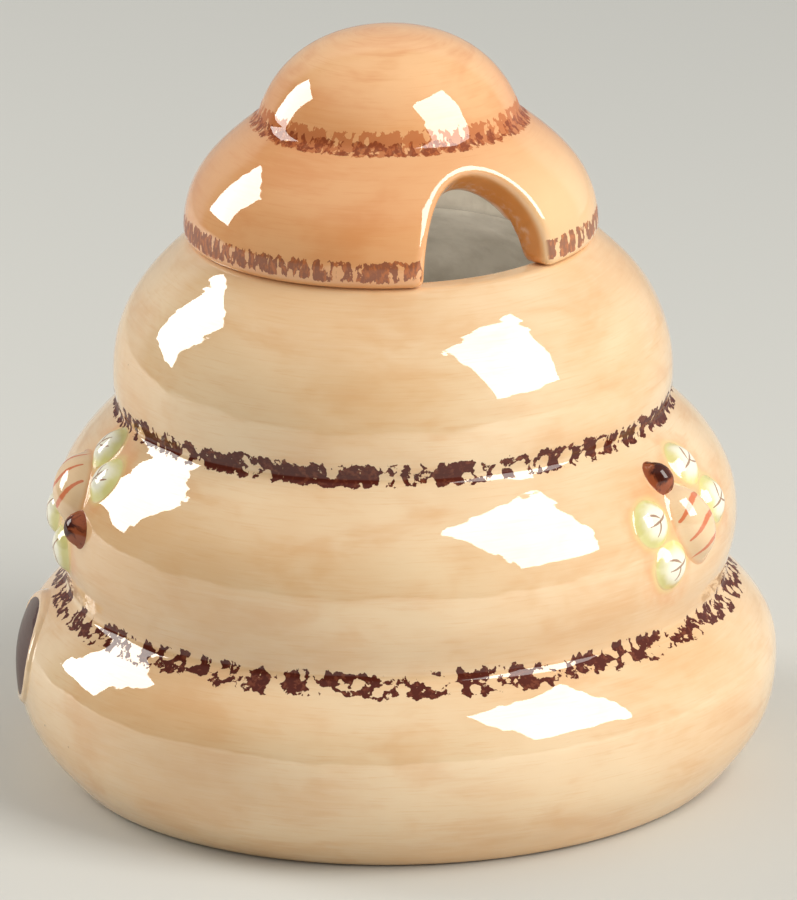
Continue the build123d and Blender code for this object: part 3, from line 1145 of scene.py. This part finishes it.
def make_bee_wing_glaze():
    material, net, place = new_glaze("bee_wing_glaze")
    spot = net.value_of("spot", "Vector")
    share = net.axis(spot, "Z")
    cloud = net.noise(place, (0.35, 0.35, 0.35), 3.0)
    spread = net.times_plus(net.less(cloud, 0.5), 0.7, share)
    base = net.mix(net.eased(spread, 0.45, 0.95), wing_cream, wing_green)
    base = paint_lines(net, spot, base, wing_veins, wing_vein_width, 0.8, vein_brown)
    halo = net.mix(0.35, bowl_stain(net, place), halo_orange)
    base = net.mix(net.eased(share, 0.95, 1.12), base, halo)
    return finish_glaze(material, net, place, base, relief_swells)


def plain_material(name, tone, roughness):
    material, net = new_material(name)
    shader = net.add("ShaderNodeBsdfPrincipled", {"Base Color": tone, "Roughness": roughness})
    net.add("ShaderNodeOutputMaterial", {"Surface": shader.outputs[0]})
    return material


# The pale table that the bowl stands on
def make_floor():
    bpy.ops.mesh.primitive_circle_add(
        vertices=128, radius=floor_radius, fill_type="NGON", location=(0, 0, 0)
    )
    floor = bpy.context.active_object
    floor.name = "pale_floor"
    floor.data.materials.append(plain_material("pale_floor", floor_tone, floor_roughness))


# The way out from the bowl at an angle round it and an elevation
def way_out(angle, elevation):
    around, up = math.radians(angle), math.radians(elevation)
    return Vector((math.sin(around) * math.cos(up), -math.cos(around) * math.cos(up), math.sin(up)))


# A soft light at an angle round the bowl and an elevation, aimed at the bowl's middle
def make_softbox(name, angle, elevation, width, height, power):
    light = bpy.data.lights.new(name, "AREA")
    light.shape = "RECTANGLE"
    light.size, light.size_y = width, height
    light.energy = power
    light.color = softbox_white[:3]
    lamp = bpy.data.objects.new(name, light)
    away = way_out(angle, elevation)
    lamp.location = Vector((0.0, 0.0, softbox_aim_height)) + softbox_distance * away
    lamp.rotation_euler = away.to_track_quat("Z", "Y").to_euler()
    bpy.context.scene.collection.objects.link(lamp)


# Soft light from all round and more from both sides; in reflections a dark studio with a pale
# backdrop behind the bowl; and a pale background to the camera
def make_world():
    world = bpy.data.worlds.new("studio")
    world.use_nodes = True
    world.node_tree.nodes.clear()
    net = Net(world.node_tree)
    towards = net.add("ShaderNodeTexCoord").outputs["Generated"]
    right = net.vector("DOT_PRODUCT", towards, camera_right)
    left = net.times(right, -1.0)
    behind = net.vector("DOT_PRODUCT", towards, (-math.sin(camera_turn), math.cos(camera_turn), 0.0))
    sides = net.times(net.eased(right, 0.1, 0.9), right_fill)
    sides = net.times_plus(net.eased(left, 0.1, 0.9), left_fill, sides)
    above = net.axis(towards, "Z")
    mirrored = reflected_ambient
    for mask, strength in (
        (net.eased(behind, 0.55, 0.7), reflected_backdrop),
        (net.eased(right, 0.3, 0.9), reflected_right),
        (net.eased(above, 0.5, 0.9), reflected_above),
    ):
        mirrored = net.times_plus(mask, strength, mirrored)

    def backdrop(tone, strength):
        return net.add("ShaderNodeBackground", {"Color": tone, "Strength": strength}).outputs[0]

    def either(share, first, second):
        return net.add("ShaderNodeMixShader", {0: share, 1: first, 2: second}).outputs[0]

    fill = backdrop(studio_white, net.math("ADD", sides, ambient))
    dim = backdrop(studio_white, mirrored)
    shown = backdrop(backdrop_tone, 1.0)
    rays = net.add("ShaderNodeLightPath").outputs
    lit = either(rays["Is Glossy Ray"], fill, dim)
    net.add("ShaderNodeOutputWorld", {"Surface": either(rays["Is Camera Ray"], lit, shown)})
    bpy.context.scene.world = world


def make_camera():
    back = way_out(camera_angle, camera_elevation)
    camera = bpy.data.objects.new("camera", bpy.data.cameras.new("camera"))
    camera.data.lens = camera_lens
    camera.data.clip_start, camera.data.clip_end = camera_range
    aim = Vector((0.0, 0.0, camera_aim_height))
    camera.location = camera_aside * camera_right + aim + camera_distance * back
    upward = back.cross(camera_right)
    pose = Matrix((camera_right, upward, back)).transposed().to_4x4()
    pose = pose @ Matrix.Rotation(math.radians(-camera_roll), 4, "Z")
    camera.rotation_euler = pose.to_euler()
    bpy.context.scene.collection.objects.link(camera)
    bpy.context.scene.camera = camera


def give(piece, material):
    piece.data.materials.clear()
    piece.data.materials.append(material)


bowl_glaze, lid_glaze = make_bowl_glaze(), make_lid_glaze()
dark_brown_glaze, bee_body_glaze = make_dark_brown_glaze(), make_bee_body_glaze()
bee_wing_glaze = make_bee_wing_glaze()
give(make_bowl(), bowl_glaze)
give(make_lid(), lid_glaze)
give(make_door_rim(), bowl_glaze)
give(make_door_panel(), dark_brown_glaze)
part_glazes = {"head": dark_brown_glaze, "body": bee_body_glaze}
for bee in bees:
    for part in bee_parts():
        give(make_bee_part(bee, part), part_glazes.get(part, bee_wing_glaze))

make_floor()
make_world()
for name, settings in softboxes.items():
    make_softbox(name, *settings)
make_camera()
bpy.context.scene.view_settings.view_transform = "Standard"
